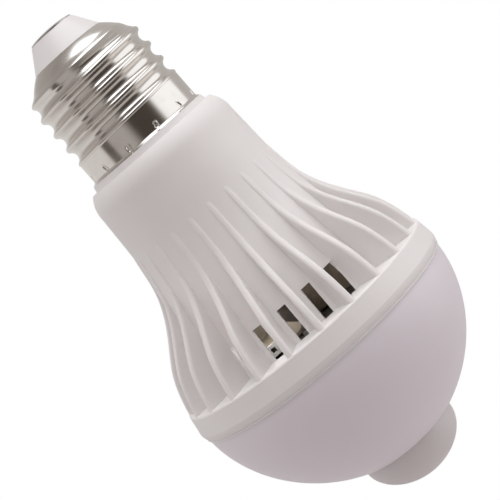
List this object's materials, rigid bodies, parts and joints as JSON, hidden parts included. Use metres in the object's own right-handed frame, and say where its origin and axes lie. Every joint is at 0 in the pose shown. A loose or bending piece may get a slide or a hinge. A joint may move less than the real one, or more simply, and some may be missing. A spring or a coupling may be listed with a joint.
{
  "type": "motion sensor led bulb",
  "caption": "LED light bulb with a screw cap, finned and vented white housing, frosted dome and a motion sensor lens at its nose.",
  "frame": {"origin": "on the lamp's axis, on the outer face of the centre contact", "axes": "+Z along the axis out of the screw cap, -Y towards the first group of vents"},
  "size_m": [0.06, 0.06, 0.114],
  "materials": {
    "nickel_plate": "nickel-plated, smooth",
    "contact_metal": "dull tinned metal",
    "insulator_white": "moulded, semi-gloss",
    "housing_white": "moulded, semi-gloss",
    "diffuser_frost": "frosted, translucent",
    "lens_frost": "frosted, translucent",
    "board_aluminium": "white mask on the LED side",
    "led_phosphor": "white frame, yellow phosphor",
    "screw_steel": "zinc-plated",
    "holder_white": "moulded",
    "board_brown": "resin-bonded board",
    "board_green": "glass-fibre board with mask",
    "resistor_body": "lacquered",
    "capacitor_sleeve": "shrunk sleeve, bare metal top",
    "sleeve_beige": "shrunk sleeve, bare metal top",
    "film_yellow": "moulded box",
    "ferrite": "sintered",
    "copper_wire": "enamelled",
    "chip_black": "moulded",
    "connector_white": "moulded",
    "can_metal": "plated can",
    "window_dark": "polished filter",
    "clear_resin": "clear cast resin",
    "wire_red": "PVC sleeve",
    "wire_white": "PVC sleeve"
  },
  "bodies": {
    "root": {"screw_shell": "nickel_plate", "centre_contact": "contact_metal", "cap_insulator": "insulator_white", "housing": "housing_white", "diffuser": "diffuser_frost", "sensor_lens": "lens_frost", "led_board": "board_aluminium", "led_chips": "led_phosphor", "led_board_screws": "screw_steel", "holder_screws": "screw_steel", "sensor_holder": "holder_white", "driver_board": "board_brown", "sensor_board": "board_green", "fuse_resistor": "resistor_body", "filter_capacitor": "capacitor_sleeve", "output_capacitor": "sleeve_beige", "film_capacitor": "film_yellow", "inductor_core": "ferrite", "inductor_winding": "copper_wire", "bridge_rectifier": "chip_black", "driver_chip": "chip_black", "chip_resistors": "chip_black", "sensor_chip": "chip_black", "led_connector": "connector_white", "pir_can": "can_metal", "pir_window": "window_dark", "light_sensor": "clear_resin", "live_wire": "wire_red", "led_leads": "wire_red", "neutral_wire": "wire_white", "sensor_leads": "wire_white"}
  },
  "joints": []
}
